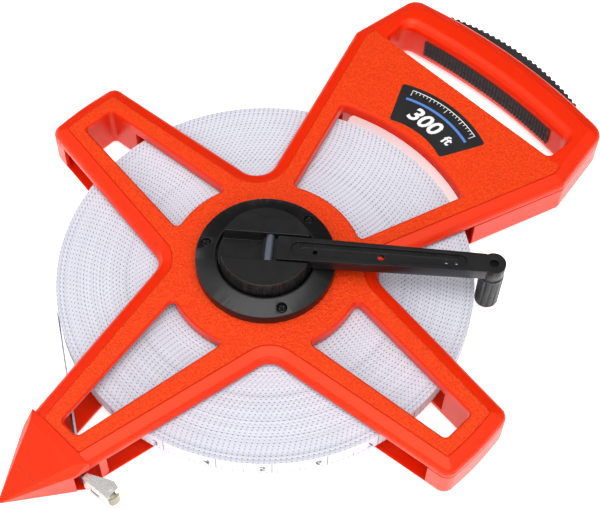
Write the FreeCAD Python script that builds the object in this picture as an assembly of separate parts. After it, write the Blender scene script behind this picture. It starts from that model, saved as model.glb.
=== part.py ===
import FreeCAD, Part
import math
import os

# Surveyor's open tape reel lying on its back. Millimetres, +Z up.
# Origin: on the reel's axis, in the plane of the back face. +Y runs to the handle, -Y to the ground spike.

V = FreeCAD.Vector
UP = V(0, 0, 1)

# ---- driving dimensions -------------------------------------------------------------------------------
DEPTH = 32.0               # whole frame, back face to front face
MID = DEPTH / 2            # middle of the tape
SEAM = 24.0                # parting plane: the front half is a shallow lid on a deep back half
TAPE_WIDTH = 12.7          # half-inch tape
TAPE_THICKNESS = 0.5
ROLL_R = 124.5             # outside of the wound tape
CORE_R = 46.0              # inside of the wound tape
WALL = 2.5                 # side walls of the frame halves
SKIN = 3.0                 # front and back plates of the frame halves
HUB_SEAT = 8.0             # back half's thickness under the drum
RIM = 4.0                  # back half's edge where the frame is open round the tape
GAP_R = 131.0              # the frame is open round the tape inside this radius
GAP_X = 153.0              # and out to here along the arms' outer walls
GAP_END_Y = -165.5         # and down to here at the spike
CRANK_ANGLE = 40.0         # direction of the stowed crank, from +X
CRANK_R = 132.5            # knob axis to reel axis, crank stowed
HINGE_X = 2.2              # crank hinge, along the crank from the reel axis
HINGE_Z = DEPTH + 14.0
ARM_THICK = 8.0
MOUTH = (19.0, -161.0)     # where the tape leaves the frame
PLATEAU_IN = 8.3           # outer wall to the textured plateau
PLATEAU_END_Y = 179.5      # the handle's bar has none
STEP = 0.3                 # height of the plateau above the band round it
GROOVE = 0.5               # width and depth of the line round the plateau
SEAM_LINE = 0.6            # height and depth of the line along the parting plane
EDGE = [(0.0, 6.3), (0.3, 4.6), (1.2, 3.1), (2.5, 2.2), (4.0, 1.7), (PLATEAU_IN, STEP)]  # inset, drop
WINDOW_EDGE_R = 1.5        # rounding of the windows at the faces
HUB_DISC_R = 58.4          # windows end on this circle
CLEAR = 0.05               # radial running clearance

TAPE_Z0 = MID - TAPE_WIDTH / 2
TAPE_Z1 = MID + TAPE_WIDTH / 2

# Right half of the frame's outer wall from the top round to the spike: x, y, corner radius.
OUTLINE_RIGHT = [
    (80.8, 222.5, 11.0), (88.4, 172.0, 5.0), (43.2, 41.0, 13.0), (165.7, 27.2, 7.0), (168.0, 0.0, 168.8),
    (166.7, -25.2, 7.0), (45.4, -41.2, 11.0), (21.9, -166.0, 1.0),
]
HANDLE_TOP = (0.0, 237.0, 380.0)
SPIKE_Y = -167.6           # where the spike's section is SPIKE_BASE
SPIKE_ROOT_Y = -158.0      # the section grows evenly up to here, inside the arm
SPIKE_TIP_Y = -203.5
SPIKE_BASE = [(16.9, 14.3), (21.3, 9.7)]   # half width and half depth of its eight-sided base
SPIKE_TIP_HALF = 0.8

SIDE_WINDOW = [(45.0, 21.5), (150.5, 11.3), (150.5, -10.2), (45.0, -21.2)]
HANDLE_WINDOW = [(64.3, 160.0), (24.0, 40.0), (-24.0, 40.0), (-64.3, 160.0)]
SPIKE_WINDOW = [(-22.4, -45.0), (22.4, -45.0), (6.5, -151.5), (-6.5, -151.5)]
FRONT_WINDOW_R = 129.5     # outer arc of the handle window, front half
BACK_WINDOW_R = 147.0      # the same, back half
WINDOW_CORNER = 3.0

SLOT = [(68.0, 179.5, 5.0), (69.5, 201.0, 8.0), (0.0, 212.0, 380.0), (-69.5, 201.0, 8.0), (-68.0, 179.5, 5.0)]
SLOT_FLARE = 7.0           # rounding of the bar's edge at the hand slot
SLOT_TOP_Y = 206.9
SLOT_TOP_R = 380.0

SPIKE_SCREW = (-6.0, -161.5)
FRAME_SCREWS = [(sign * x, y) for x, y in ((159.5, 0.0), (76.5, 190.0), (52.0, 156.0)) for sign in (1, -1)]
FRAME_SCREWS.append(SPIKE_SCREW)
FRAME_BOSS_R = 4.2
FRAME_SCREW_R = 1.5
FRAME_SCREW_HEAD = (3.4, 2.2)
FRAME_SCREW_SEAT = 4.0
FRAME_SCREW_LENGTH = 24.0

BEZEL_R = 41.4
BEZEL_BORE_R = 29.6
BEZEL_RIM_Z = DEPTH + 6.8
BEZEL_TOP_Z = DEPTH + 9.2
BEZEL_SCREW_R = 36.5
BEZEL_SCREW_ANGLES = (90.0, 210.0, 330.0)
BEZEL_SCREW_SINK = 1.2
SCREW_HOLE_R = 1.55
HUB_SOLID_R = 44.0         # the plates are solid inside this radius
HUB_BORE_R = 24.0          # hole in the front half for the crank hub's spigot
HUB_FLANGE_R = 33.2
HUB_BOSS_BASE_R = 28.6
HUB_BOSS_TOP_R = 26.8
HUB_TOP_Z = DEPTH + 18.0
HUB_SLOT_WIDTH = 18.7
HUB_SLOT_Z = DEPTH + 9.0
HUB_SPIGOT_R = 22.0
HUB_SCREW_PCR = 14.0
HUB_SCREW_ANGLES = (30.0, 150.0, 270.0)
DETENT_X = 12.0
DETENT_BALL_R = 2.0
AXLE_R = 5.0
AXLE_FLANGE_R = 8.0
CRANK_PIN_R = 2.6
CAP_R = 30.0

LABEL_CENTRE_Y = 88.0
LABEL_R0 = 48.0
LABEL_R1 = 79.0
LABEL_HALF_ANGLE = 26.0
LABEL_DEPTH = 0.4

# Crank arm, seen from above with the reel axis at 0: holes as distance, radius.
ARM_HALF_WIDTH = (8.1, 6.2)
ARM_BOSS_R = 7.0
ARM_BOSS_LIP = 1.6
ARM_HOLES = [(28.8, 1.5), (67.1, 2.1), (105.2, 1.2), (111.0, 1.2)]
KNOB_AXLE_R = 2.65
KNOB_Z0 = 11.0
KNOB_STEP_Z = 30.0
KNOB_FLUTES = 12

HOOK_ANGLE = 5.0           # the hook's long side, from +X
HOOK_LENGTH = 19.0
HOOK_Z0 = MID - 7.0
HOOK_Z1 = MID + 7.0
SHEET = 0.8
STRAP = 1.0                # thickness of the end strap
HOOK_PIN_AT = (16.0, 4.6)  # claw's pin, in the hook's own axes
HOOK_PIN_R = 1.2

GRIP_CREST_Y = 238.0
GRIP_CREST_R = 168.0
GRIP_HALF_LENGTH = 55.0
GRIP_HALF_WIDTH = 10.0
GRIP_TEETH = 25
GRIP_PITCH = 4.45
PAD_Z = (9.6, 22.4)
PAD_HALF_LENGTH = 53.0
PAD_PITCH = 2.6
PAD_RIBS = 40


# ---- small builders -----------------------------------------------------------------------------------
def polar(radius, degrees, z=0.0):
    return V(radius * math.cos(math.radians(degrees)), radius * math.sin(math.radians(degrees)), z)


def mirrored(right_half):
    """The left half of an outline, in the order that closes the right half."""
    return [(-x, y, r) for x, y, r in reversed(right_half)]


def offset(points, distance):
    """Moves every edge of a clockwise outline inwards (outwards if negative), keeping arcs concentric."""
    count = len(points)
    moved = []
    for i, (x, y, radius) in enumerate(points):
        before = V(x, y, 0) - V(*points[i - 1][:2], 0)
        after = V(*points[(i + 1) % count][:2], 0) - V(x, y, 0)
        before.normalize()
        after.normalize()
        turn = before.x * after.y - before.y * after.x
        inward = V(before.y + after.y, -before.x - after.x, 0)
        scale = distance / (1 + before.dot(after))
        new_radius = radius - distance if turn < 0 else radius + distance
        moved.append((x + inward.x * scale, y + inward.y * scale, max(new_radius, 0.6)))
    return moved


def wire(points, z):
    """Closed wire through corners x, y with the corner radius of each; radius 0 is a sharp corner."""
    count = len(points)
    starts = []
    ends = []
    middles = []
    for i, (x, y, radius) in enumerate(points):
        corner = V(x, y, z)
        to_before = V(points[i - 1][0], points[i - 1][1], z) - corner
        to_after = V(points[(i + 1) % count][0], points[(i + 1) % count][1], z) - corner
        to_before.normalize()
        to_after.normalize()
        half = to_before.getAngle(to_after) / 2
        reach = radius / math.tan(half)
        starts.append(corner + to_before * reach)
        ends.append(corner + to_after * reach)
        bisector = to_before + to_after
        bisector.normalize()
        middles.append(corner + bisector * (radius / math.sin(half) - radius))
    edges = []
    for i in range(count):
        if points[i][2] > 0:
            edges.append(Part.Arc(starts[i], middles[i], ends[i]).toShape())
        edges.append(Part.makeLine(ends[i], starts[(i + 1) % count]))
    return Part.Wire(edges)


def prism(points, z0, z1):
    return Part.Face(wire(points, z0)).extrude(V(0, 0, z1 - z0))


def sharp(points):
    return [(x, y, 0.0) for x, y in points]


def loft(sections, ruled=True):
    return Part.makeLoft(sections, True, ruled)


def rod(radius, z0, z1, x=0.0, y=0.0):
    return Part.makeCylinder(radius, z1 - z0, V(x, y, z0), UP)


def ring(outer, inner, z0, z1):
    return rod(outer, z0, z1).cut(rod(inner, z0 - 1, z1 + 1))


def cone(radius0, radius1, z0, z1):
    return Part.makeCone(radius0, radius1, z1 - z0, V(0, 0, z0), UP)


def box(x0, x1, y0, y1, z0, z1):
    return Part.makeBox(x1 - x0, y1 - y0, z1 - z0, V(x0, y0, z0))


def fuse(shapes):
    shapes = list(shapes)
    return shapes[0].multiFuse(shapes[1:]).removeSplitter() if len(shapes) > 1 else shapes[0]


def turned(shape, degrees):
    copy = shape.copy()
    copy.rotate(V(0, 0, 0), UP, degrees)
    return copy


def flipped(shape):
    """Turned over about the X axis, so that a screw points up."""
    copy = shape.copy()
    copy.rotate(V(0, 0, 0), V(1, 0, 0), 180)
    return copy


def moved(shape, x, y, z=0.0):
    copy = shape.copy()
    copy.translate(V(x, y, z))
    return copy


def vertical_edges(shape):
    return [e for e in shape.Edges if len(e.Vertexes) == 2 and abs(e.tangentAt(e.FirstParameter).z) > 0.999]


def cross_screw(head_r, head_h, shank_r, length):
    """Pan-head screw with a cross recess: head from z 0 up, shank from z 0 down."""
    head = rod(head_r, 0, head_h)
    rim = head.Edges[0] if head.Edges[0].Vertexes[0].Point.z > head_h / 2 else head.Edges[2]
    head = head.makeFillet(head_h * 0.4, [rim])
    arm = head_r * 0.62
    slit = head_r * 0.12
    cross = fuse([box(-arm, arm, -slit, slit, head_h * 0.35, head_h + 1),
                  box(-slit, slit, -arm, arm, head_h * 0.35, head_h + 1)])
    return fuse([head, rod(shank_r, -length, 0)]).cut(cross)


# ---- frame halves -------------------------------------------------------------------------------------
OUTLINE = [HANDLE_TOP] + OUTLINE_RIGHT + mirrored(OUTLINE_RIGHT)


def window(points, grow, outer_r=None):
    """A window's prism through the whole depth; grow widens it on every side."""
    outline = offset(sharp(points), -grow) if grow else sharp(points)
    shape = prism([(x, y, 0.0) for x, y, _ in outline], -1, DEPTH + 1)
    if outer_r:
        shape = shape.common(rod(outer_r + grow, -2, DEPTH + 2))
    shape = shape.cut(rod(HUB_DISC_R - grow, -2, DEPTH + 2))
    return shape.makeFillet(WINDOW_CORNER, vertical_edges(shape))


def side_windows(grow):
    left = [(-x, y) for x, y in reversed(SIDE_WINDOW)]
    return [window(SIDE_WINDOW, grow), window(left, grow)]


def windows(grow, handle_r):
    spike_window = window(list(reversed(SPIKE_WINDOW)), grow)
    return side_windows(grow) + [window(HANDLE_WINDOW, grow, handle_r), spike_window]


def flared_slot():
    """Hand slot whose bar side widens towards the face in a quarter round."""
    sections = [wire(SLOT, -1), wire(SLOT, DEPTH - SLOT_FLARE)]
    steps = 4
    for i in range(1, steps + 1):
        angle = math.radians(90 * i / steps)
        out = SLOT_FLARE * (1 - math.cos(angle))
        z = DEPTH - SLOT_FLARE + SLOT_FLARE * math.sin(angle)
        flared = [(x + math.copysign(0.35 * out, x) * (x != 0), y + (out if y > 190 else 0.0), r)
                  for x, y, r in SLOT]
        sections.append(wire(flared, z))
    sections.append(wire(flared, DEPTH + 1))
    return loft(sections)


def frustum(near, far):
    """Solid with flat sides between two matching loops of points."""
    def face(corners):
        return Part.Face(Part.makePolygon(corners + corners[:1]))

    sides = [face([near[i - 1], near[i], far[i], far[i - 1]]) for i in range(len(near))]
    return Part.makeSolid(Part.makeShell(sides + [face(near), face(far)]))


def spike():
    """Eight-sided point, from inside the arm's end to the tip, no wider than the arm."""
    half = SPIKE_BASE + [(x, -z) for x, z in reversed(SPIKE_BASE)]
    base = half + [(-x, z) for x, z in reversed(half)]

    def section(y, scale):
        return [V(scale * x, y, MID + scale * z) for x, z in base]

    tip = SPIKE_TIP_HALF / SPIKE_BASE[1][0]
    root = 1 + (1 - tip) * (SPIKE_ROOT_Y - SPIKE_Y) / (SPIKE_Y - SPIKE_TIP_Y)
    point = frustum(section(SPIKE_ROOT_Y, root), section(SPIKE_TIP_Y, tip))
    x0, y0, _ = OUTLINE_RIGHT[-2]
    x1, y1, _ = OUTLINE_RIGHT[-1]
    tip_x = x1 + (x1 - x0) / (y1 - y0) * (SPIKE_TIP_Y - 1 - y1)
    arm = [(x0, y0, 0), (tip_x, SPIKE_TIP_Y - 1, 0), (-tip_x, SPIKE_TIP_Y - 1, 0), (-x0, y0, 0)]
    return point.common(prism(arm, 0, DEPTH - STEP))


def tape_gap(seam):
    """Opening round the tape: all of it inside the roll's radius, the arms' outer walls beyond that."""
    top = DEPTH - RIM
    gap = rod(GAP_R, seam - 1, DEPTH - HUB_SEAT).fuse(ring(GAP_R, HUB_SOLID_R, seam - 1, top))
    arms = box(-GAP_X, GAP_X, -45, 45, seam - 1, top)
    for shape in side_windows(WALL):
        arms = arms.cut(shape)
    end = box(-40, 40, GAP_END_Y, -100, seam - 1, top).cut(window(list(reversed(SPIKE_WINDOW)), WALL))
    run = strip(-112.0, 8.0, -4.5, 9.0, seam - 1, top)
    mouth_post = box(15.5, 24.0, -152.0, -147.0, seam - 2, DEPTH)
    gap = fuse([gap, arms, end, run])
    return gap.cut(mouth_post).cut(rod(FRAME_BOSS_R, seam - 2, DEPTH, *SPIKE_SCREW))


def frame_half(seam, handle_r):
    """Half with its face up: rounded edge, plateau, windows, hand slot, walls and screw bosses."""
    edge = [wire(offset(OUTLINE, inset) if inset else OUTLINE, DEPTH - drop) for inset, drop in EDGE]
    plateau = offset(OUTLINE, PLATEAU_IN)
    body = prism(OUTLINE, seam, DEPTH - EDGE[0][1]).fuse(loft(edge))
    below_slot = box(-200, 200, -200, PLATEAU_END_Y, 0, DEPTH + 1)
    body = body.fuse(prism(plateau, DEPTH - STEP, DEPTH).common(below_slot))
    line = prism(plateau, DEPTH - STEP - GROOVE, DEPTH + 1).cut(prism(offset(plateau, GROOVE), 0, DEPTH + 2))
    body = body.cut(line.common(below_slot))
    seam_line = prism(offset(OUTLINE, -5.0), seam - 1, seam + SEAM_LINE)
    body = body.cut(seam_line.cut(prism(offset(OUTLINE, SEAM_LINE), 0, DEPTH)))
    body = body.fuse(spike().common(box(-50, 50, SPIKE_TIP_Y - 5, SPIKE_ROOT_Y + 5, seam, DEPTH)))

    cavity = prism(offset(OUTLINE, WALL), seam - 1, DEPTH - SKIN)
    for shape in windows(WALL, handle_r):
        cavity = cavity.cut(shape)
    cavity = cavity.cut(prism(offset(list(reversed(SLOT)), -WALL), seam - 1, DEPTH))
    bar = box(-90, 90, 195, 240, DEPTH - SLOT_FLARE - 1, DEPTH)
    cavity = cavity.cut(bar).cut(rod(HUB_SOLID_R, seam - 1, DEPTH))
    for x, y in FRAME_SCREWS:
        cavity = cavity.cut(rod(FRAME_BOSS_R, seam - 1, DEPTH, x, y))
    cavity = cavity.cut(box(-40, 40, SPIKE_TIP_Y, GAP_END_Y, seam - 1, DEPTH))
    body = body.cut(cavity)
    if seam < DEPTH - HUB_SEAT:
        body = body.cut(tape_gap(seam))
    holes = windows(0.0, handle_r)
    for shape in holes:
        body = body.cut(shape)
    return body.makeFillet(WINDOW_EDGE_R, face_edges(body, holes)).cut(flared_slot())


def face_edges(body, holes):
    """Edges of the face that lie on the holes' walls."""
    found = []
    for edge in body.Edges:
        if abs(edge.BoundBox.ZMin - DEPTH) > 0.001:
            continue
        middle = Part.Vertex(edge.valueAt((edge.FirstParameter + edge.LastParameter) / 2))
        if any(hole.distToShape(middle)[0] < 0.01 for hole in holes):
            found.append(edge)
    return found


def grip_pocket():
    """Seat of the ribbed pad in the hand slot's upper wall, across both halves."""
    centre_y = SLOT_TOP_Y - SLOT_TOP_R
    arc = rod(SLOT_TOP_R + 1.5, *PAD_Z, 0, centre_y).cut(rod(SLOT_TOP_R - 1.0, 0, DEPTH, 0, centre_y))
    return arc.common(box(-PAD_HALF_LENGTH, PAD_HALF_LENGTH, 190, 215, *PAD_Z))


def front_frame():
    body = frame_half(SEAM, FRONT_WINDOW_R).cut(rod(HUB_BORE_R, 0, DEPTH + 1))
    for angle in BEZEL_SCREW_ANGLES:
        at = polar(BEZEL_SCREW_R, angle)
        body = body.cut(rod(SCREW_HOLE_R, DEPTH - 6, DEPTH + 1, at.x, at.y))
    thread_end = FRAME_SCREW_SEAT + FRAME_SCREW_LENGTH + 0.5
    for x, y in FRAME_SCREWS:
        body = body.cut(rod(FRAME_SCREW_R + CLEAR, SEAM - 1, thread_end, x, y))
    return body.cut(label_plate(LABEL_DEPTH + 1))


def back_frame():
    """Modelled face up and then mirrored, so that heights here are counted from the front."""
    body = frame_half(DEPTH - SEAM, BACK_WINDOW_R)
    for radius, low in ((CAP_R + 0.2, DEPTH - 2.5), (AXLE_FLANGE_R + 0.2, DEPTH - 5.0), (AXLE_R + 0.02, MID - 1)):
        body = body.cut(rod(radius, low, DEPTH + 1))
    for x, y in FRAME_SCREWS:
        body = body.cut(rod(FRAME_SCREW_R + 0.3, 0, DEPTH + 1, x, y))
        body = body.cut(rod(FRAME_SCREW_HEAD[0] + 0.3, DEPTH - FRAME_SCREW_SEAT, DEPTH + 1, x, y))
    return body.mirror(V(0, 0, MID), UP).cut(grip_pocket())


# ---- handle pieces ------------------------------------------------------------------------------------
def outer_grip():
    """Rubber strip on the handle's crest with a row of rounded teeth."""
    z0 = MID - GRIP_HALF_WIDTH
    z1 = MID + GRIP_HALF_WIDTH
    centre_y = GRIP_CREST_Y - GRIP_CREST_R
    pitch = math.degrees(GRIP_PITCH / GRIP_CREST_R)
    strip_box = box(-GRIP_HALF_LENGTH, GRIP_HALF_LENGTH, 215, 245, z0, z1)
    grip = rod(GRIP_CREST_R, z0, z1, 0, centre_y).common(strip_box).cut(prism(OUTLINE, 0, DEPTH))
    for i in range(GRIP_TEETH + 1):
        at = polar(GRIP_CREST_R + 0.2, 90 + (i - GRIP_TEETH / 2) * pitch)
        grip = grip.cut(rod(1.35, z0 - 1, z1 + 1, at.x, at.y + centre_y))
    return grip


def inner_grip():
    """Pad in the hand slot with fine ribs and a groove along its middle."""
    centre_y = SLOT_TOP_Y - SLOT_TOP_R
    pad = grip_pocket()
    pitch = math.degrees(PAD_PITCH / SLOT_TOP_R)
    for i in range(PAD_RIBS):
        at = polar(SLOT_TOP_R - 1.1, 90 + (i - (PAD_RIBS - 1) / 2) * pitch)
        pad = pad.cut(rod(0.8, 0, DEPTH, at.x, at.y + centre_y))
    groove = rod(SLOT_TOP_R - 0.4, MID - 0.6, MID + 0.6, 0, centre_y)
    return pad.cut(groove)


def label_plate(height=LABEL_DEPTH):
    """Fan-shaped plate set into the front face."""
    a0 = 90 - LABEL_HALF_ANGLE
    a1 = 90 + LABEL_HALF_ANGLE
    z = DEPTH - LABEL_DEPTH
    centre = V(0, LABEL_CENTRE_Y, z)
    ends = ((LABEL_R0, a0), (LABEL_R0, a1), (LABEL_R1, a1), (LABEL_R1, a0))
    corner = [centre + polar(radius, angle) for radius, angle in ends]
    low = centre + polar(LABEL_R0, 90)
    high = centre + polar(LABEL_R1, 90)
    edges = [Part.Arc(corner[0], low, corner[1]).toShape(), Part.makeLine(corner[1], corner[2]),
             Part.Arc(corner[2], high, corner[3]).toShape(), Part.makeLine(corner[3], corner[0])]
    plate = Part.Face(Part.Wire(edges)).extrude(V(0, 0, height))
    return plate.makeFillet(2.0, vertical_edges(plate))


# ---- hub ----------------------------------------------------------------------------------------------
def hub_bezel():
    body = rod(BEZEL_R, DEPTH, BEZEL_RIM_Z).fuse(cone(BEZEL_R, BEZEL_BORE_R + 1, BEZEL_RIM_Z, BEZEL_TOP_Z))
    body = body.cut(rod(BEZEL_BORE_R, 0, 100)).cut(rod(HUB_FLANGE_R + 0.4, 0, DEPTH + 5.0))
    for angle in BEZEL_SCREW_ANGLES:
        at = polar(BEZEL_SCREW_R, angle)
        body = body.cut(rod(1.7, 0, 100, at.x, at.y))
        body = body.cut(rod(3.1, BEZEL_RIM_Z - BEZEL_SCREW_SINK, 100, at.x, at.y))
    return body.removeSplitter()


def bezel_screws():
    seat = BEZEL_RIM_Z - BEZEL_SCREW_SINK
    screw = cross_screw(2.8, 1.7, 1.5, 10.0)
    shapes = []
    for angle in BEZEL_SCREW_ANGLES:
        at = polar(BEZEL_SCREW_R, angle)
        shapes.append(moved(turned(screw, angle / 2), at.x, at.y, seat))
    return Part.makeCompound(shapes)


def crank_hub():
    body = fuse([cone(HUB_BOSS_BASE_R, HUB_BOSS_TOP_R, DEPTH + 4.0, HUB_TOP_Z),
                 rod(HUB_FLANGE_R, DEPTH + 1.0, DEPTH + 4.5), rod(HUB_SPIGOT_R, TAPE_Z1 + 0.8, DEPTH + 2)])
    half = HUB_SLOT_WIDTH / 2
    slot = box(-40, 40, -half, half, HUB_SLOT_Z, HUB_TOP_Z + 1)
    pin = Part.makeCylinder(CRANK_PIN_R + 0.02, 36, V(HINGE_X, -18, HINGE_Z), V(0, 1, 0))
    body = body.cut(slot).cut(pin).cut(rod(DETENT_BALL_R + 0.1, DEPTH + 1.0, HUB_TOP_Z, DETENT_X, 0))
    body = body.cut(rod(AXLE_R + CLEAR, 0, DEPTH - 1.0))
    for angle in HUB_SCREW_ANGLES:
        at = polar(HUB_SCREW_PCR, angle)
        body = body.cut(rod(SCREW_HOLE_R, 0, DEPTH, at.x, at.y))
    return turned(body, CRANK_ANGLE)


def crank_pin():
    pin = Part.makeCylinder(CRANK_PIN_R, 34, V(HINGE_X, -17, HINGE_Z), V(0, 1, 0))
    return turned(pin, CRANK_ANGLE)


def detent_ball():
    return turned(Part.makeSphere(DETENT_BALL_R, V(DETENT_X, 0, HUB_SLOT_Z - 1.2)), CRANK_ANGLE)


def detent_spring():
    coil = rod(1.9, DEPTH + 1.2, HUB_SLOT_Z - 3.3, DETENT_X, 0).cut(rod(1.2, DEPTH, DEPTH + 20, DETENT_X, 0))
    return turned(coil, CRANK_ANGLE)


def centre_axle():
    return fuse([rod(AXLE_R, 2.6, DEPTH - 1.6), rod(AXLE_FLANGE_R, 2.6, 4.9)])


def rear_washer():
    return ring(13.0, AXLE_R + 0.15, HUB_SEAT + 0.05, HUB_SEAT + 1.0)


def front_washer():
    return ring(HUB_FLANGE_R - 0.5, HUB_BORE_R + 0.5, DEPTH + 0.05, DEPTH + 0.9)


def back_cap():
    cap = rod(CAP_R, 0, 2.4)
    return cap.makeChamfer(0.4, [e for e in cap.Edges if e.BoundBox.ZMax < 0.1])


# ---- drum and tape ------------------------------------------------------------------------------------
def drum_core():
    z0 = HUB_SEAT + 1.1
    z1 = TAPE_Z1 + 0.7
    rim = ring(CORE_R - 0.05, CORE_R - 3.0, z0, z1)
    web = ring(CORE_R - 2.0, 18.0, MID - 2, MID + 2)
    for i in range(6):
        at = polar(32.0, i * 60 + 10)
        web = web.cut(rod(7.5, 0, DEPTH, at.x, at.y))
    boss = rod(20.0, z0, z1)
    body = fuse([rim, web, boss]).cut(rod(9.0, 0, DEPTH))
    for angle in HUB_SCREW_ANGLES:
        at = polar(HUB_SCREW_PCR, angle + CRANK_ANGLE)
        body = body.cut(rod(1.7, 0, DEPTH, at.x, at.y)).cut(rod(3.2, 0, z0 + 3.0, at.x, at.y))
    slit = turned(box(CORE_R - 2.0, CORE_R + 1, -4, 4, MID - 7.2, DEPTH), 200)
    return body.cut(slit)


def drum_bush():
    return ring(8.98, AXLE_R + CLEAR, HUB_SEAT + 1.1, TAPE_Z1 + 0.7)


def hub_screws():
    seat = HUB_SEAT + 1.1 + 2.9
    screw = flipped(cross_screw(2.9, 1.8, 1.5, 16.0))
    shapes = []
    for angle in HUB_SCREW_ANGLES:
        at = polar(HUB_SCREW_PCR, angle + CRANK_ANGLE)
        shapes.append(moved(screw, at.x, at.y, seat))
    return Part.makeCompound(shapes)


def tape_anchor():
    clip = box(CORE_R - 1.9, CORE_R - 0.4, -3.8, 3.8, MID - 6.0, MID + 6.5)
    return turned(clip, 200)


def wound_tape():
    return ring(ROLL_R, CORE_R, TAPE_Z0, TAPE_Z1)


def tangent_run():
    """Tape's straight run: unit direction of pull, its normal away from the roll, and its length."""
    reach = math.hypot(*MOUTH)
    line_r = ROLL_R + 0.55
    to_centre = math.atan2(-MOUTH[1], -MOUTH[0])
    back = to_centre + math.asin(line_r / reach)
    pull = V(-math.cos(back), -math.sin(back), 0)
    return pull, V(pull.y, -pull.x, 0), math.sqrt(reach ** 2 - line_r ** 2)


def strip(along0, along1, across, thickness, z0, z1):
    """Flat strip on edge beside the tape's run; along is measured from the mouth, across from the run."""
    pull, away, _ = tangent_run()
    mouth = V(MOUTH[0], MOUTH[1], z0)
    a = mouth + pull * along0 + away * across
    b = mouth + pull * along1 + away * across
    corners = [a, b, b + away * thickness, a + away * thickness]
    return Part.Face(Part.makePolygon(corners + corners[:1])).extrude(V(0, 0, z1 - z0))


def tape_lead():
    _, _, length = tangent_run()
    return strip(-length, -3.0, -0.25, TAPE_THICKNESS, TAPE_Z0, TAPE_Z1)


# ---- tape end and hook --------------------------------------------------------------------------------
def strap_bend():
    """Where the strap turns towards the hook, just outside the mouth; also the hook's two directions."""
    pull, away, _ = tangent_run()
    bend = V(MOUTH[0], MOUTH[1], 0) + away * 0.55 + pull * 1.5
    along = polar(1.0, HOOK_ANGLE)
    return bend, along, V(along.y, -along.x, 0)


def tape_end_strap():
    """Black strap: a run inside the frame beside the tape, bent at the mouth towards the hook."""
    pull, away, _ = tangent_run()
    bend, along, side = strap_bend()
    start = bend - pull * 43.5
    tail = bend + along * 6.3
    elbow = (away + side) * (STRAP / (1 + away.dot(side)))
    corners = [start, bend, tail, tail + side * STRAP, bend + elbow, start + away * STRAP]
    outline = Part.Face(Part.makePolygon(corners + corners[:1]))
    return moved(outline.extrude(V(0, 0, TAPE_WIDTH - 0.6)), 0, 0, TAPE_Z0 + 0.3)


def hook_local(shape):
    bend, along, side = strap_bend()
    at = bend + along * 3.4 + side * STRAP
    return moved(turned(shape, HOOK_ANGLE), at.x, at.y)


def hook_plate():
    """Folded sheet: front wall with a window, sloping rear wall and a closed top, open at the claw's end."""
    front = -1.0
    outer = [(0.0, front), (0.0, 2.8), (2.0, 3.4), (14.5, 8.6), (HOOK_LENGTH, 7.6), (HOOK_LENGTH, front)]
    body = prism(sharp(outer), HOOK_Z0, HOOK_Z1)
    room = front + SHEET
    inner = [(2.4, room), (2.4, 2.6), (14.7, 7.7), (HOOK_LENGTH + 5, 6.8), (HOOK_LENGTH + 5, room)]
    body = body.cut(prism(sharp(inner), HOOK_Z0 - 1, HOOK_Z1 - SHEET))
    body = body.cut(box(-1, 3.0, -0.05, STRAP + 0.05, HOOK_Z0 - 1, TAPE_Z1))
    body = body.cut(box(5.5, 11.5, front - 1, room + 0.1, MID - 3.6, MID + 2.4))
    body = body.cut(box(12.5, HOOK_LENGTH + 1, 4.0, 12, HOOK_Z0 - 1, HOOK_Z1 - SHEET))
    body = body.cut(rod(HOOK_PIN_R + CLEAR, HOOK_Z0, DEPTH, *HOOK_PIN_AT))
    return hook_local(body)


def hook_pin():
    pin = fuse([rod(HOOK_PIN_R, HOOK_Z0 + 0.6, HOOK_Z1, *HOOK_PIN_AT),
                rod(1.8, HOOK_Z1, HOOK_Z1 + 0.6, *HOOK_PIN_AT)])
    return hook_local(pin)


def hook_claw():
    """Curled claw that swings on the pin inside the hook's open end."""
    x, y = HOOK_PIN_AT
    z0 = MID - 5.4
    z1 = MID + 5.4
    eye = rod(2.0, z0, z1, x, y)
    outer = rod(5.4, z0 + 1.5, z1 - 1.5, x, y - 1.0).cut(rod(4.4, 0, DEPTH, x, y - 1.0))
    curl = outer.common(box(x, x + 8, y - 4.5, y + 1.5, z0, z1))
    arm = box(x, x + 4.8, y - 0.4, y + 0.5, z0 + 1.5, z1 - 1.5)
    return hook_local(fuse([eye, curl, arm]).cut(rod(HOOK_PIN_R + CLEAR, 0, DEPTH, x, y)))


# ---- crank --------------------------------------------------------------------------------------------
def arm_local(shape):
    return turned(shape, CRANK_ANGLE)


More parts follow.
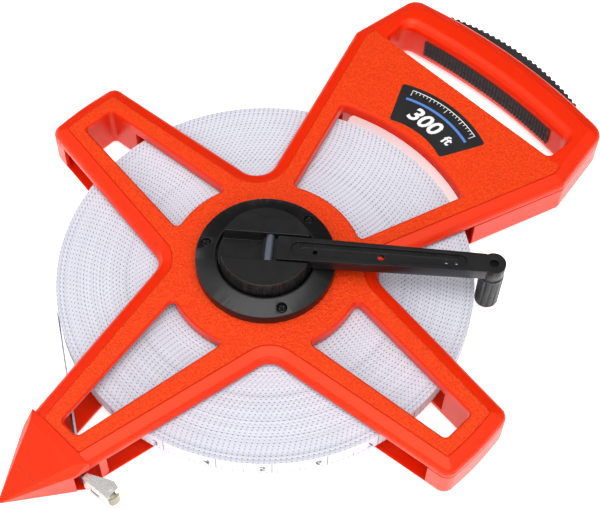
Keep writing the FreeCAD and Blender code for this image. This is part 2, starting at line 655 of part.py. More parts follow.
def crank_arm():
    """Tapered arm with a long pocket in its face, a cradle round the hinge pin and a boss for the knob."""
    z0 = HINGE_Z - ARM_THICK / 2
    z1 = HINGE_Z + ARM_THICK / 2
    start = HINGE_X + 4.5
    tip = CRANK_R - 4.0
    wide, narrow = ARM_HALF_WIDTH
    body = prism([(start, wide, 1.0), (tip, narrow, 0.5), (tip, -narrow, 0.5), (start, -wide, 1.0)], z0, z1)
    body = body.fuse(rod(ARM_BOSS_R, z0 - ARM_BOSS_LIP, z1, CRANK_R, 0))
    cradle = Part.makeCylinder(ARM_THICK / 2, 2 * wide, V(HINGE_X, -wide, HINGE_Z), V(0, 1, 0))
    cradle = cradle.common(box(-10, start, -9, 9, z0 - 1, HINGE_Z + 0.6))
    web = box(HINGE_X, start + 1, -wide, wide, z0, HINGE_Z + 0.6)
    body = fuse([body, cradle, web])
    body = body.cut(Part.makeCylinder(CRANK_PIN_R + CLEAR, 20, V(HINGE_X, -10, HINGE_Z), V(0, 1, 0)))
    pocket = [(14.5, 5.0, 4.5), (117.0, 4.2, 4.0), (117.0, -4.2, 4.0), (14.5, -5.0, 4.5)]
    groove = [(20.0, 2.6, 2.4), (112.0, 2.2, 2.0), (112.0, -2.2, 2.0), (20.0, -2.6, 2.4)]
    under = [(12.0, 5.4, 1.0), (118.0, 4.4, 1.0), (118.0, -4.4, 1.0), (12.0, -5.4, 1.0)]
    body = body.cut(prism(pocket, z1 - 2.4, z1 + 1)).cut(prism(groove, z1 - 2.8, z1))
    body = body.cut(prism(under, z0 - 1, z0 + 2.4))
    for x, radius in ARM_HOLES:
        body = body.cut(rod(radius, z0 - 3, z1 + 1, x, 0))
    body = body.cut(Part.makeSphere(DETENT_BALL_R + 0.3, V(DETENT_X, 0, z0 - 1.6)))
    body = body.cut(rod(KNOB_AXLE_R + CLEAR, z0 - 3, z1 + 1, CRANK_R, 0))
    return arm_local(body)


def knob_axle():
    body = fuse([rod(KNOB_AXLE_R, KNOB_STEP_Z, HINGE_Z + ARM_THICK / 2 - 2.4, CRANK_R, 0),
                 rod(2.2, KNOB_Z0 + 2.6, KNOB_STEP_Z, CRANK_R, 0),
                 rod(4.0, KNOB_Z0 + 0.9, KNOB_Z0 + 2.6, CRANK_R, 0)])
    return arm_local(body)


def crank_knob():
    """Fluted knob, slightly tapered, hanging from the arm when the crank is stowed."""
    z0 = KNOB_Z0
    z1 = HINGE_Z - ARM_THICK / 2 - ARM_BOSS_LIP - 0.4
    body = Part.makeCone(7.0, 7.3, z1 - z0, V(CRANK_R, 0, z0), UP)
    body = body.makeFillet(1.0, [e for e in body.Edges if e.BoundBox.ZLength < 0.1])
    for i in range(KNOB_FLUTES):
        at = polar(8.0, i * 360 / KNOB_FLUTES)
        body = body.cut(rod(1.35, z0 + 1.6, z1 - 2.2, CRANK_R + at.x, at.y))
    bores = ((2.7, KNOB_STEP_Z - 0.3, z1 + 1), (2.25, z0 - 1, KNOB_STEP_Z), (4.2, z0 - 1, z0 + 2.8))
    for radius, low, high in bores:
        body = body.cut(rod(radius, low, high, CRANK_R, 0))
    return arm_local(body)


def frame_screws():
    screw = flipped(cross_screw(*FRAME_SCREW_HEAD, FRAME_SCREW_R, FRAME_SCREW_LENGTH))
    return Part.makeCompound([moved(screw, x, y, FRAME_SCREW_SEAT) for x, y in FRAME_SCREWS])


PIECES = [
    front_frame, back_frame, outer_grip, inner_grip, label_plate, hub_bezel, bezel_screws, frame_screws, centre_axle,
    rear_washer, front_washer, back_cap, tape_lead, drum_core, drum_bush, hub_screws, tape_anchor, wound_tape,
    crank_hub, crank_pin, detent_ball, detent_spring, crank_arm, knob_axle, crank_knob, tape_end_strap,
    hook_plate, hook_pin, hook_claw,
]


def main():
    os.makedirs("parts", exist_ok=True)
    for make in PIECES:
        shape = make()
        size = shape.BoundBox
        print(f"{make.__name__}: solids {len(shape.Solids)}, valid {shape.isValid()}, "
              f"{size.XLength:.1f} x {size.YLength:.1f} x {size.ZLength:.1f}")
        shape.exportStep(f"parts/{make.__name__}.step")


main()
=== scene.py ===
import math
import random

import bpy
from mathutils import Matrix, Vector


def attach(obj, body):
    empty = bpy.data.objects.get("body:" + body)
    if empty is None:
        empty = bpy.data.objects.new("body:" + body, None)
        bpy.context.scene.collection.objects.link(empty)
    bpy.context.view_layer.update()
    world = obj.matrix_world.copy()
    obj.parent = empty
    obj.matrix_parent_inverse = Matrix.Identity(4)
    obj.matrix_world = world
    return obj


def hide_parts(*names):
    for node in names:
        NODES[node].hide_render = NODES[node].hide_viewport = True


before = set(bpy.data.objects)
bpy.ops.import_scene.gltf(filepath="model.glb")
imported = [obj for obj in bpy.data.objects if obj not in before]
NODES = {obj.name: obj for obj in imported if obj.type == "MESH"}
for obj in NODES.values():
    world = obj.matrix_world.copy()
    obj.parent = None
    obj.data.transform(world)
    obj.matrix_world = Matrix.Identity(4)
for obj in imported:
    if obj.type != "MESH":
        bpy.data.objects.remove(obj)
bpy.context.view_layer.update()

MM = 0.001

# ---- sizes of the CAD part that the looks follow, in metres -------------------------------------------
MID_Z = 16.0 * MM                 # middle of the frame's depth, and of the tape's width
HALF_DEPTH = 16.0 * MM
PLATEAU_STEP = 0.3 * MM
ROLL_R = 124.5 * MM
CORE_R = 46.0 * MM
TAPE_Z0 = 9.65 * MM
TAPE_Z1 = 22.35 * MM
MOUTH = Vector((19.0, -161.0)) * MM
LEAD_LINE_R = ROLL_R + 0.55 * MM  # the straight run passes the axis at this distance
LEAD_FACE_R = LEAD_LINE_R + 0.25 * MM
LABEL_CENTRE_Y = 88.0 * MM        # the label's arcs are struck from here
LABEL_Z = 32.0 * MM

# ---- tape and its print -------------------------------------------------------------------------------
WRAPS = 162
WRAP = (ROLL_R - CORE_R) / WRAPS
LOOSE_WRAPS = 4                   # the outermost ones
OPEN_GROOVES = (WRAPS - 2, WRAPS - 5)
ROLL_SEGMENTS = 240
TENTH_FOOT = 30.48 * MM
MARK_PITCH = TENTH_FOOT / 10      # dots that the print leaves along a wrap's edge
MARKED_WRAP = 4                   # one wrap in so many shows them clearly
EDGE_PRINT_Z = 5.9 * MM           # the dots start at this distance from the tape's middle
INK = 0.03 * MM                   # half the thickness of a sheet of ink
INK_GAP = 0.01 * MM               # its middle stands this far off the surface
TENTH_LINE_HALF = 0.18 * MM       # half widths of the printed strokes
MARK_HALF = 0.13 * MM
LONG_MARK = 4.6 * MM
SHORT_MARK = 2.3 * MM
PRINT_MARGIN = 0.2 * MM           # strokes end this far from the tape's edge
DIGIT_SHIFT = 5.2 * MM            # a number's middle stands this far before its line
ROLL_DIGIT = (7.6 * MM, 0.12 * MM)    # size of a number and the weight added to its strokes
LEAD_DIGIT = (9.5 * MM, 0.30 * MM)
LEAD_NUMBERS = 3
LEAD_START = 9.0 * MM             # first number on the straight run, from where it leaves the roll

# ---- label print --------------------------------------------------------------------------------------
# Places are measured from the centre of the label's arcs, and angles are in degrees from its middle line.
SLANT = 0.18
CAPACITY_PLACE = (-4.5 * MM, 57.5 * MM)
CAPACITY_TYPE = (15.5 * MM, 0.42 * MM)    # size and added weight
UNIT_PLACE = (15.5 * MM, 56.0 * MM)
UNIT_TYPE = (9.5 * MM, 0.25 * MM)
RULE_R = 75.6 * MM
RULE_LINE = 0.5 * MM
RULE_HALF_ANGLE = 20.2
RULE_MARKS = 21
RULE_STEP = 2.0
RULE_MARK_HALF = 0.0026           # radians
STRIPE_R0 = 67.2 * MM
STRIPE_R1 = 69.0 * MM
STRIPE_HALF_ANGLE = 21.5

# ---- studio and camera --------------------------------------------------------------------------------
FLOOR_HALF = 4.0
FLOOR_Z = -0.4 * MM
BRIGHT_SIDE = (0.5, -0.5, 0.7)    # the surroundings grow brighter toward this direction
DARK_LEVEL = 0.04                 # the light starts to grow here along that direction
FULL_LEVEL = 0.48                 # and is full here
DARK_STRENGTH = 0.04
FULL_STRENGTH = 1.05
PANELS = (                        # name, place, aim, size and power
    ("overhead_panel", (0.20, -0.20, 1.5), (0.05, -0.05, 0.0), (1.3, 1.3), 16.0),
    ("front_panel", (0.9, -1.3, 0.75), (0.0, 0.0, 0.0), (1.2, 0.8), 8.0),
    ("left_panel", (-1.4, -0.5, 0.6), (0.0, 0.0, 0.0), (0.8, 0.8), 6.0),
)
CAMERA_PLACE = (0.31288, -0.30607, 0.72418)
CAMERA_TURNS = ((-1.77, "Z"), (-32.64, "X"), (-43.00, "Z"))
LENS = 83.17                      # millimetres, on a sensor 36 mm wide


# ---- material builder ---------------------------------------------------------------------------------
class Shader:
    """A Principled material and short calls for the nodes that feed it."""

    def __init__(self, name, **values):
        self.material = bpy.data.materials.new(name)
        self.material.use_nodes = True
        self.tree = self.material.node_tree
        self.bsdf = next(n for n in self.tree.nodes if n.type == "BSDF_PRINCIPLED")
        for socket, value in values.items():
            self.set(socket.replace("_", " "), value)

    def set(self, socket, value):
        self.feed(self.bsdf.inputs[socket], value)

    def feed(self, socket, value):
        if isinstance(value, bpy.types.NodeSocket):
            self.tree.links.new(value, socket)
        elif isinstance(value, tuple) and len(value) == 3 and socket.type == "RGBA":
            socket.default_value = (*value, 1.0)
        else:
            socket.default_value = value

    def node(self, kind, inputs=(), **settings):
        made = self.tree.nodes.new("ShaderNode" + kind)
        for name, value in settings.items():
            setattr(made, name, value)
        for key, value in dict(inputs).items():
            self.feed(made.inputs[key], value)
        return made

    def place(self):
        return self.node("TexCoord").outputs["Object"]

    def split(self, vector):
        made = self.node("SeparateXYZ", {0: vector})
        return made.outputs[0], made.outputs[1], made.outputs[2]

    def join(self, x, y, z):
        return self.node("CombineXYZ", {0: x, 1: y, 2: z}).outputs[0]

    def math(self, operation, *values):
        return self.node("Math", dict(enumerate(values)), operation=operation).outputs[0]

    def span(self, value, low, high, out_low=0.0, out_high=1.0):
        """Value from low..high mapped to out_low..out_high, held at both ends."""
        made = self.node("MapRange", {0: value, 1: low, 2: high, 3: out_low, 4: out_high})
        return made.outputs[0]

    def noise(self, vector, scale, detail=2.0, roughness=0.5, distortion=0.0):
        made = self.node("TexNoise", {"Vector": vector, "Scale": scale, "Detail": detail,
                                      "Roughness": roughness, "Distortion": distortion})
        return made.outputs[0]

    def cells(self, vector, scale, **settings):
        return self.node("TexVoronoi", {"Vector": vector, "Scale": scale}, **settings)

    def random_of(self, value):
        return self.node("TexWhiteNoise", {"W": value}, noise_dimensions="1D").outputs["Value"]

    def blend(self, factor, first, second):
        made = self.node("Mix", data_type="RGBA")
        for index, value in ((0, factor), (6, first), (7, second)):
            self.feed(made.inputs[index], value)
        return made.outputs[2]

    def bump(self, height, strength, distance, normal=None):
        made = self.node("Bump", {"Height": height, "Strength": strength, "Distance": distance})
        if normal is not None:
            self.feed(made.inputs["Normal"], normal)
        return made.outputs["Normal"]

    def edges(self, radius):
        """0 on flat ground, rising to 1 on an outside or inside edge; and the rounded normal."""
        soft = self.node("Bevel", {"Radius": radius}, samples=4).outputs[0]
        flat = self.node("NewGeometry").outputs["True Normal"]
        dot = self.node("VectorMath", {0: soft, 1: flat}, operation="DOT_PRODUCT").outputs["Value"]
        return self.span(dot, 0.995, 0.75), soft


def frame_plastic():
    """Orange-red moulded plastic: leather grain on the plateaus, smooth and slightly lighter elsewhere."""
    s = Shader("frame_plastic", IOR=1.47, Specular_IOR_Level=0.50, Specular_Tint=(1.0, 0.56, 0.34))
    place = s.place()
    _, _, z = s.split(place)
    height = s.math("ABSOLUTE", s.math("SUBTRACT", z, MID_Z))
    plateau = s.span(height, HALF_DEPTH - 0.7 * PLATEAU_STEP, HALF_DEPTH - 0.2 * PLATEAU_STEP)
    pebbles = s.cells(place, 820.0, feature="SMOOTH_F1")
    s.feed(pebbles.inputs["Smoothness"], 0.7)
    worms = s.noise(place, 1050.0, 2.0, 0.55, 0.9)
    grain = s.math("MULTIPLY", pebbles.outputs["Distance"], 0.8)
    grain = s.math("ADD", s.math("MULTIPLY", worms, 0.9), grain)
    fine = s.noise(place, 2600.0, 2.0, 0.6)
    cloud = s.noise(place, 14.0, 3.0, 0.55)
    edge, soft = s.edges(0.6 * MM)
    smooth = s.blend(cloud, (0.66, 0.0150, 0.0004), (0.72, 0.0200, 0.0006))
    dimpled = s.blend(s.span(grain, 0.45, 1.05), (0.56, 0.0200, 0.0010), (0.76, 0.0460, 0.0030))
    colour = s.blend(plateau, smooth, dimpled)
    s.set("Base Color", s.blend(s.math("MULTIPLY", edge, 0.25), colour, (0.86, 0.075, 0.020)))
    s.set("Roughness", s.math("ADD", s.span(plateau, 0.0, 1.0, 0.28, 0.44),
                              s.span(fine, 0.3, 0.7, 0.0, 0.06)))
    relief = s.bump(s.math("MULTIPLY", grain, plateau), 0.8, 0.5 * MM, soft)
    s.set("Normal", s.bump(fine, 0.05, 0.1 * MM, relief))
    s.set("Subsurface Weight", 0.35)
    s.set("Subsurface Radius", (1.0, 0.14, 0.04))
    s.set("Subsurface Scale", 5.0 * MM)
    return s.material


def black_plastic(name, shade, roughness, speckle):
    """Moulded black plastic with a fine satin texture, faint flow marks and greyer edges."""
    s = Shader(name, IOR=1.5, Specular_IOR_Level=0.34)
    place = s.place()
    fine = s.noise(place, 3200.0, 3.0, 0.65)
    flow = s.noise(place, 34.0, 4.0, 0.6, 1.4)
    edge, soft = s.edges(0.35 * MM)
    colour = s.blend(s.span(flow, 0.35, 0.7), (shade, shade * 0.96, shade * 0.98),
                     (shade * 1.6, shade * 1.6, shade * 1.65))
    s.set("Base Color", s.blend(s.math("MULTIPLY", edge, 0.4), colour, (shade * 7, shade * 7, shade * 7.2)))
    s.set("Roughness", s.math("ADD", s.span(flow, 0.3, 0.7, roughness - 0.04, roughness + 0.05),
                              s.span(fine, 0.35, 0.65, 0.0, 0.07)))
    s.set("Normal", s.bump(fine, speckle, 0.08 * MM, soft))
    return s.material


def rubber():
    """Matt black moulded rubber with dust in its pores."""
    s = Shader("grip_rubber", IOR=1.45)
    place = s.place()
    pores = s.cells(place, 1900.0).outputs["Distance"]
    cloud = s.noise(place, 60.0, 4.0, 0.6)
    edge, soft = s.edges(0.3 * MM)
    colour = s.blend(cloud, (0.008, 0.008, 0.008), (0.018, 0.018, 0.019))
    s.set("Base Color", s.blend(s.math("MULTIPLY", edge, 0.5), colour, (0.060, 0.060, 0.063)))
    s.set("Roughness", s.span(pores, 0.1, 0.6, 0.62, 0.78))
    s.set("Normal", s.bump(pores, 0.25, 0.15 * MM, soft))
    s.set("Sheen Weight", 0.12)
    s.set("Sheen Roughness", 0.4)
    return s.material


def metal(name, colour, worn, roughness):
    """Plated or turned metal: brushed streaks, duller spots that are also darkened as painted reflection, and
    brighter worn edges.
    """
    s = Shader(name, Metallic=1.0)
    place = s.place()
    x, y, z = s.split(place)
    streaks = s.noise(s.join(s.math("MULTIPLY", x, 0.12), y, z), 2400.0, 3.0, 0.7)
    dull_spots_and_painted_reflection = s.noise(place, 260.0, 4.0, 0.65)
    edge, soft = s.edges(0.25 * MM)
    # painted reflection: the spots darken the colour in place of dark surroundings reflected in the metal,
    # and also raise its roughness
    base = s.blend(s.span(dull_spots_and_painted_reflection, 0.35, 0.7), colour, tuple(c * 0.86 for c in colour))
    s.set("Base Color", s.blend(s.math("MULTIPLY", edge, 0.6), base, worn))
    s.set("Roughness", s.math("ADD", s.span(dull_spots_and_painted_reflection, 0.3, 0.7, roughness, roughness + 0.08),
                              s.span(streaks, 0.3, 0.7, 0.0, 0.1)))
    s.set("Normal", s.bump(streaks, 0.105, 0.05 * MM, soft))
    return s.material


def tape_shader():
    """Coated white tape seen from its edge: wraps with painted shade in the gaps between them, and the
    printed marks that reach the edge as dots.
    """
    s = Shader("tape_coating", IOR=1.46)
    place = s.place()
    x, y, z = s.split(place)
    radius = s.math("SQRT", s.math("ADD", s.math("MULTIPLY", x, x), s.math("MULTIPLY", y, y)))
    turns = s.math("DIVIDE", s.math("SUBTRACT", radius, CORE_R), WRAP)
    wrap = s.math("FLOOR", turns)
    across = s.math("SUBTRACT", turns, wrap)
    angle = s.math("ADD", s.math("ARCTAN2", y, x), math.pi)
    wound = s.math("MULTIPLY", wrap, s.math("MULTIPLY_ADD", wrap, math.pi * WRAP, 2 * math.pi * CORE_R))
    run = s.math("MULTIPLY_ADD", s.math("MULTIPLY_ADD", wrap, WRAP, CORE_R), angle, wound)
    chance = s.random_of(wrap)
    mark = s.math("FRACT", s.math("DIVIDE", run, MARK_PITCH))
    row = s.math("FRACT", s.math("DIVIDE", s.math("ADD", wrap, 0.5), MARKED_WRAP))
    clear = s.math("MULTIPLY", s.span(row, 0.25, 0.26, 1.0, 0.0), s.span(chance, 0.0, 0.6, 0.6, 1.0))
    printed = s.math("MAXIMUM", clear, s.span(chance, 0.5, 1.0, 0.0, 0.35))
    dots = s.math("MULTIPLY", s.span(mark, 0.30, 0.36, 1.0, 0.0), printed)
    off_middle = s.math("ABSOLUTE", s.math("SUBTRACT", z, MID_Z))
    on_edge = s.span(off_middle, EDGE_PRINT_Z, EDGE_PRINT_Z + 0.15 * MM)
    dots = s.math("MULTIPLY", dots, on_edge)
    # painted shade: a band at the outer side of each wrap on the roll's edge, standing for shade in the gap
    # to the next wrap
    painted_gap_shade = s.math("MULTIPLY", s.span(across, 0.78, 0.92, 0.0, 1.0), on_edge)
    cloud = s.noise(place, 42.0, 4.0, 0.6, 0.5)
    paper = s.noise(place, 1500.0, 3.0, 0.6)
    base = s.blend(cloud, (0.53, 0.530, 0.605), (0.61, 0.610, 0.675))
    # painted shade colour for the gaps between wraps, stronger on some wraps than others
    base = s.blend(s.math("MULTIPLY", painted_gap_shade, s.span(chance, 0.35, 1.0, 0.1, 0.9)), base, (0.19, 0.19, 0.25))
    s.set("Base Color", s.blend(s.math("MULTIPLY", dots, 0.9), base, (0.035, 0.04, 0.07)))
    s.set("Roughness", s.span(paper, 0.3, 0.7, 0.42, 0.58))
    s.set("Normal", s.bump(paper, 0.12, 0.08 * MM))
    return s.material


def printed_ink(name, colour):
    s = Shader(name, IOR=1.45)
    wear = s.noise(s.place(), 1800.0, 4.0, 0.7)
    faded = tuple(0.75 * c + 0.06 for c in colour)
    s.set("Base Color", s.blend(s.span(wear, 0.5, 0.75), colour, faded))
    s.set("Roughness", s.span(wear, 0.3, 0.7, 0.38, 0.55))
    s.set("Normal", s.bump(wear, 0.08, 0.05 * MM))
    return s.material


def strap_shader():
    """Black coated webbing of the tape's end strap."""
    s = Shader("strap_webbing", IOR=1.45)
    place = s.place()
    x, y, z = s.split(place)
    along = s.math("SINE", s.math("MULTIPLY", s.math("ADD", x, y), 5200.0))
    over = s.math("SINE", s.math("MULTIPLY", z, 7400.0))
    weave = s.math("MULTIPLY", along, over)
    fuzz = s.noise(place, 2100.0, 3.0, 0.6)
    s.set("Base Color", s.blend(s.span(weave, -1.0, 1.0), (0.006, 0.006, 0.007), (0.030, 0.030, 0.033)))
    s.set("Roughness", s.span(fuzz, 0.3, 0.7, 0.45, 0.62))
    s.set("Normal", s.bump(weave, 0.4, 0.12 * MM))
    return s.material


def floor_shader():
    s = Shader("studio_floor", Specular_IOR_Level=0.15)
    paper = s.noise(s.place(), 9.0, 4.0, 0.5)
    s.set("Base Color", s.blend(paper, (0.97, 0.97, 0.97), (1.0, 1.0, 1.0)))
    s.set("Roughness", 0.85)
    s.set("Emission Color", (1.0, 1.0, 1.0))
    s.set("Emission Strength", 0.5)
    return s.material


# ---- mesh helpers -------------------------------------------------------------------------------------
def new_mesh(name, points, faces, material, smooth=True):
    mesh = bpy.data.meshes.new(name)
    mesh.from_pydata(points, [], faces)
    mesh.polygons.foreach_set("use_smooth", [smooth] * len(faces))
    mesh.materials.append(material)
    mesh.validate()
    made = bpy.data.objects.new(name, mesh)
    bpy.context.scene.collection.objects.link(made)
    return made


def finish_piece(piece, body, replaced=()):
    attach(piece, body)
    if replaced:
        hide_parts(*replaced)


def dress(names, material):
    for name in names:
        mesh = NODES[name].data
        mesh.materials.clear()
        mesh.materials.append(material)


def rounded(names, width):
    """Small real radii on the edges of CAD nodes."""
    for name in names:
        piece = NODES[name]
        weld = piece.modifiers.new("weld", "WELD")
        weld.merge_threshold = 0.002 * MM
        planar = piece.modifiers.new("planar", "DECIMATE")
        planar.decimate_type = "DISSOLVE"
        planar.angle_limit = math.radians(0.6)
        bevel = piece.modifiers.new("edges", "BEVEL")
        bevel.width = width
        bevel.segments = 2
        bevel.limit_method = "ANGLE"
        bevel.angle_limit = math.radians(32.0)
        bevel.harden_normals = True
        bevel.miter_outer = "MITER_ARC"


# ---- wound tape ---------------------------------------------------------------------------------------
def wrap_profile():
    """Half section of the roll's edge: radius, lift, and the sway's height, phase and waves per turn."""
    rng = random.Random(11)
    profile = []
    for wrap in range(WRAPS):
        loose = 1.0 if wrap >= WRAPS - LOOSE_WRAPS else 0.35
        lift = rng.uniform(-0.10, 0.06) * loose * MM
        sway = rng.uniform(0.0, 0.09) * MM
        phase = rng.uniform(0, 2 * math.pi)
        waves = rng.choice((1, 2, 3))
        inner = CORE_R + wrap * WRAP
        groove = 0.5 * MM if wrap in OPEN_GROOVES else 0.16 * MM
        profile.append((inner, -groove, 0.0, phase, waves))
        profile.append((inner + 0.28 * WRAP, lift, sway, phase, waves))
        profile.append((inner + 0.80 * WRAP, lift, sway, phase, waves))
    profile.append((ROLL_R - 0.03 * MM, -0.14 * MM, 0.0, 0.0, 1))
    return profile


def wound_roll(material):
    """The roll as separate ridged wraps on both edges, the last few wound a little loose."""
    profile = wrap_profile()
    points = []
    rings = []
    angles = [2 * math.pi * i / ROLL_SEGMENTS for i in range(ROLL_SEGMENTS)]
    for side, z_edge, order in ((1, TAPE_Z1, profile), (-1, TAPE_Z0, profile[::-1])):
        for radius, lift, sway, phase, waves in order:
            rings.append(len(points))
            for angle in angles:
                rise = min(lift + sway * math.sin(waves * angle + phase) - 0.1 * MM, 0.0)
                points.append((radius * math.cos(angle), radius * math.sin(angle), z_edge + side * rise))
        if side > 0:
            for share in (0.06, 0.5, 0.94):
                rings.append(len(points))
                z = TAPE_Z1 + (TAPE_Z0 - TAPE_Z1) * share
                points.extend((ROLL_R * math.cos(a), ROLL_R * math.sin(a), z) for a in angles)
    rings.append(rings[0])
    faces = []
    for first, second in zip(rings, rings[1:]):
        for i in range(ROLL_SEGMENTS):
            j = (i + 1) % ROLL_SEGMENTS
            faces.append((second + i, second + j, first + j, first + i))
    roll = new_mesh("tape_roll", points, faces, material)
    finish_piece(roll, "reel", ["wound_tape"])


# ---- print --------------------------------------------------------------------------------------------
def text_outline(words, size, embolden, shear):
    """Flat filled lettering as points and faces, centred on the origin, reading along +X."""
    curve = bpy.data.curves.new("lettering", "FONT")
    curve.body = words
    curve.size = size
    curve.shear = shear
    curve.offset = embolden
    curve.align_x = "CENTER"
    curve.align_y = "CENTER"
    curve.resolution_u = 3
    writer = bpy.data.objects.new("lettering", curve)
    bpy.context.scene.collection.objects.link(writer)
    bpy.context.view_layer.update()
    depsgraph = bpy.context.evaluated_depsgraph_get()
    mesh = bpy.data.meshes.new_from_object(writer.evaluated_get(depsgraph))
    points = [tuple(v.co) for v in mesh.vertices]
    faces = [tuple(p.vertices) for p in mesh.polygons]
    bpy.data.objects.remove(writer)
    bpy.data.meshes.remove(mesh)
    return points, faces


def raised(sheets, lift):
    """Joins flat sheets of ink into one closed mesh that reaches lift to both sides of each sheet.

    A sheet is its points, its faces and the call that places a point.
    """
    points = []
    faces = []
    for flat, plane_faces, put in sheets:
        start = len(points)
        count = len(flat)
        points.extend(put(x, y, lift) for x, y, _ in flat)
        points.extend(put(x, y, -lift) for x, y, _ in flat)
        uses = {}
        for face in plane_faces:
            faces.append(tuple(start + v for v in face))
            faces.append(tuple(start + count + v for v in reversed(face)))
            for a, b in zip(face, face[1:] + face[:1]):
                uses[(a, b)] = uses.get((a, b), 0) + 1
        for a, b in uses:
            if (b, a) not in uses:
                faces.append((start + b, start + a, start + count + a, start + count + b))
    return points, faces


def bar(x0, x1, y0, y1, steps=1):
    """A flat oblong, cut across x into steps so that it can follow a bend."""
    flat = []
    for i in range(steps + 1):
        x = x0 + (x1 - x0) * i / steps
        flat += [(x, y0, 0.0), (x, y1, 0.0)]
    return flat, [(2 * i, 2 * i + 2, 2 * i + 3, 2 * i + 1) for i in range(steps)]


def print_piece(name, sheets, ink, body):
    points, faces = raised(sheets, INK)
    finish_piece(new_mesh(name, points, faces, ink, False), body)


def put_round(centre):
    """Placing call for print on the roll's outer face, centre metres along it."""
    def put(x, y, lift):
        radius = ROLL_R + INK_GAP + lift
        angle = (centre + x) / ROLL_R
        return (radius * math.cos(angle), radius * math.sin(angle), MID_Z - y)
    return put


def put_lead(centre):
    """Placing call for print on the straight run, centre metres from where it leaves the roll."""
    back = math.atan2(-MOUTH.y, -MOUTH.x) + math.asin(LEAD_LINE_R / MOUTH.length)
    pull = Vector((-math.cos(back), -math.sin(back)))
    away = Vector((pull.y, -pull.x))

    def put(x, y, lift):
        at = away * (LEAD_FACE_R + INK_GAP + lift) + pull * (centre + x)
        return (at.x, at.y, MID_Z - y)
    return put


def tenth(put_at, centre, pitch, digit, size, weight):
    """A number, the line of its tenth of a foot, and the nine hundredth marks after it."""
    end = (TAPE_Z1 - TAPE_Z0) / 2 - PRINT_MARGIN
    made = [(*text_outline(digit, size, weight, 0.0), put_at(centre - DIGIT_SHIFT)),
            (*bar(-TENTH_LINE_HALF, TENTH_LINE_HALF, -end, end), put_at(centre))]
    for k in range(1, 10):
        reach = LONG_MARK if k == 5 else SHORT_MARK
        made.append((*bar(-MARK_HALF, MARK_HALF, end - reach, end), put_at(centre + k * pitch / 10)))
    return made


def tape_marks(ink):
    """Tenths of a foot on the roll's outer face and on the run to the mouth, with hundredth marks between."""
    marks = int(2 * math.pi * ROLL_R / TENTH_FOOT)
    pitch = 2 * math.pi * ROLL_R / marks
    sheets = []
    for i in range(marks):
        sheets += tenth(put_round, i * pitch, pitch, str(i % 9 + 1), *ROLL_DIGIT)
    print_piece("tape_print", sheets, ink, "reel")
    sheets = []
    for i in range(LEAD_NUMBERS):
        sheets += tenth(put_lead, LEAD_START + i * pitch, pitch, str(i + 1), *LEAD_DIGIT)
    print_piece("lead_print", sheets, ink, "frame")


def label_print(white, blue):
    """Capacity, a short ruled scale and a stripe on the fan-shaped label."""
    def put_at(place):
        def put(x, y, lift):
            return (place[0] + x, LABEL_CENTRE_Y + place[1] + y, LABEL_Z + INK_GAP + lift)
        return put

    def put_fan(x, y, lift):
        angle = math.pi / 2 - x
        return (y * math.cos(angle), LABEL_CENTRE_Y + y * math.sin(angle), LABEL_Z + INK_GAP + lift)

    def arc_bar(half_angle, low, high, steps):
        return bar(-math.radians(half_angle), math.radians(half_angle), low, high, steps)

    sheets = [(*text_outline("300", *CAPACITY_TYPE, SLANT), put_at(CAPACITY_PLACE)),
              (*text_outline("ft", *UNIT_TYPE, SLANT), put_at(UNIT_PLACE))]
    for i in range(RULE_MARKS):
        turn = math.radians(RULE_STEP * (i - (RULE_MARKS - 1) / 2))
        reach = 4.2 * MM if i % 10 == 0 else 3.0 * MM if i % 5 == 0 else 1.8 * MM
        mark = bar(turn - RULE_MARK_HALF, turn + RULE_MARK_HALF, RULE_R - reach, RULE_R)
        sheets.append((*mark, put_fan))
    sheets.append((*arc_bar(RULE_HALF_ANGLE, RULE_R, RULE_R + RULE_LINE, 24), put_fan))
    print_piece("label_lettering", sheets, white, "frame")
    stripe = arc_bar(STRIPE_HALF_ANGLE, STRIPE_R0, STRIPE_R1, 30)
    print_piece("label_stripe", [(*stripe, put_fan)], blue, "frame")


# ---- studio -------------------------------------------------------------------------------------------
def light(name, place, aim, size, power):
    lamp = bpy.data.lights.new(name, "AREA")
    lamp.shape = "RECTANGLE"
    lamp.size, lamp.size_y = size
    lamp.energy = power
    made = bpy.data.objects.new(name, lamp)
    made.location = place
    made.rotation_euler = (Vector(aim) - Vector(place)).to_track_quat("-Z", "Y").to_euler()
    bpy.context.scene.collection.objects.link(made)


def surroundings():
    """White light from all round, growing brighter toward one side."""
    world = bpy.data.worlds.new("studio")
    bpy.context.scene.world = world
    world.use_nodes = True
    tree = world.node_tree
    facing = tree.nodes.new("ShaderNodeVectorMath")
    facing.operation = "DOT_PRODUCT"
    facing.inputs[1].default_value = BRIGHT_SIDE
    bright = tree.nodes.new("ShaderNodeMapRange")
    for index, value in enumerate((DARK_LEVEL, FULL_LEVEL, DARK_STRENGTH, FULL_STRENGTH), start=1):
        bright.inputs[index].default_value = value
    place = tree.nodes.new("ShaderNodeTexCoord")
    tree.links.new(place.outputs["Generated"], facing.inputs[0])
    tree.links.new(facing.outputs["Value"], bright.inputs[0])
    tree.links.new(bright.outputs[0], tree.nodes["Background"].inputs[1])
    tree.nodes["Background"].inputs[0].default_value = (1.0, 1.0, 1.0, 1.0)


def studio():
    half = FLOOR_HALF
    corners = [(x, y, FLOOR_Z) for x, y in ((-half, -half), (half, -half), (half, half), (-half, half))]
    new_mesh("floor", corners, [(0, 1, 2, 3)], floor_shader(), False)
    surroundings()
    for panel in PANELS:
        light(*panel)
    bpy.context.scene.view_settings.view_transform = "Standard"
    bpy.context.scene.view_settings.look = "None"


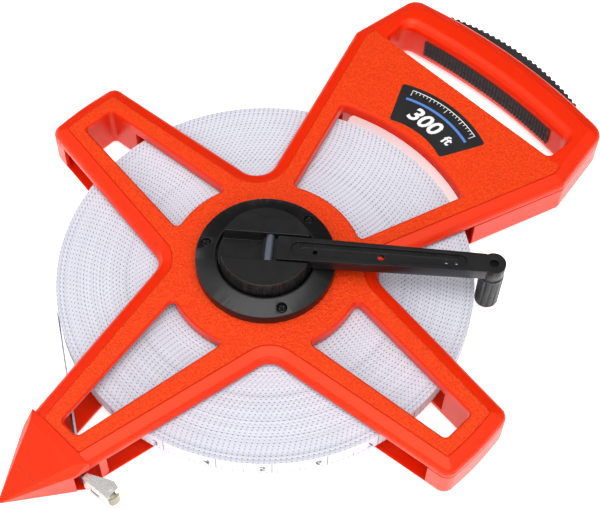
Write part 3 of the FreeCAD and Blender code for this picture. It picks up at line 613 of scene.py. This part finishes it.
def camera():
    """Camera at the photograph's viewing angle."""
    lens = bpy.data.cameras.new("camera")
    lens.lens = LENS
    lens.sensor_width = 36.0
    lens.clip_start = 0.01
    made = bpy.data.objects.new("camera", lens)
    to_camera = Matrix.Identity(3)
    for degrees, axis in CAMERA_TURNS:
        to_camera = to_camera @ Matrix.Rotation(math.radians(degrees), 3, axis)
    made.matrix_world = Matrix.Translation(CAMERA_PLACE) @ to_camera.transposed().to_4x4()
    bpy.context.scene.collection.objects.link(made)
    bpy.context.scene.camera = made


# ---- everything together ------------------------------------------------------------------------------
satin_parts = ["hub_bezel", "crank_hub", "crank_arm", "crank_knob", "back_cap"]
satin_black = black_plastic("black_plastic", 0.0045, 0.28, 0.10)
dress(["front_frame", "back_frame"], frame_plastic())
dress(satin_parts, satin_black)
rounded(satin_parts, 0.35 * MM)
dress(["outer_grip", "inner_grip"], rubber())
dress(["label_plate"], black_plastic("label", 0.008, 0.42, 0.06))
# painted shade: knob_axle takes the black screw finish so that the deep hole it sits in looks dark
dress(["bezel_screws", "knob_axle"], metal("black_screw", (0.018, 0.018, 0.019), (0.42, 0.42, 0.43), 0.26))
dress(["centre_axle", "rear_washer", "front_washer", "hub_screws", "detent_ball", "detent_spring",
       "frame_screws", "tape_anchor"], metal("steel", (0.45, 0.45, 0.46), (0.7, 0.7, 0.7), 0.26))
dress(["crank_pin"], metal("pin_steel", (0.15, 0.17, 0.21), (0.36, 0.38, 0.41), 0.46))
dress(["hook_plate", "hook_pin"], metal("nickel", (0.46, 0.455, 0.44), (0.72, 0.72, 0.70), 0.18))
# painted shade: the curled claw gets a darker, gold-brown copy of the hook's nickel
dress(["hook_claw"], metal("claw_nickel_painted_shade", (0.30, 0.265, 0.19), (0.66, 0.63, 0.55), 0.20))
dress(["drum_core", "drum_bush"], black_plastic("nylon", 0.02, 0.45, 0.1))
dress(["tape_end_strap"], strap_shader())

tape_coating = tape_shader()
dress(["tape_lead"], tape_coating)
wound_roll(tape_coating)
tape_marks(printed_ink("tape_ink", (0.03, 0.03, 0.045)))
label_print(printed_ink("label_white", (0.72, 0.72, 0.72)), printed_ink("label_blue", (0.07, 0.18, 0.52)))

studio()
camera()
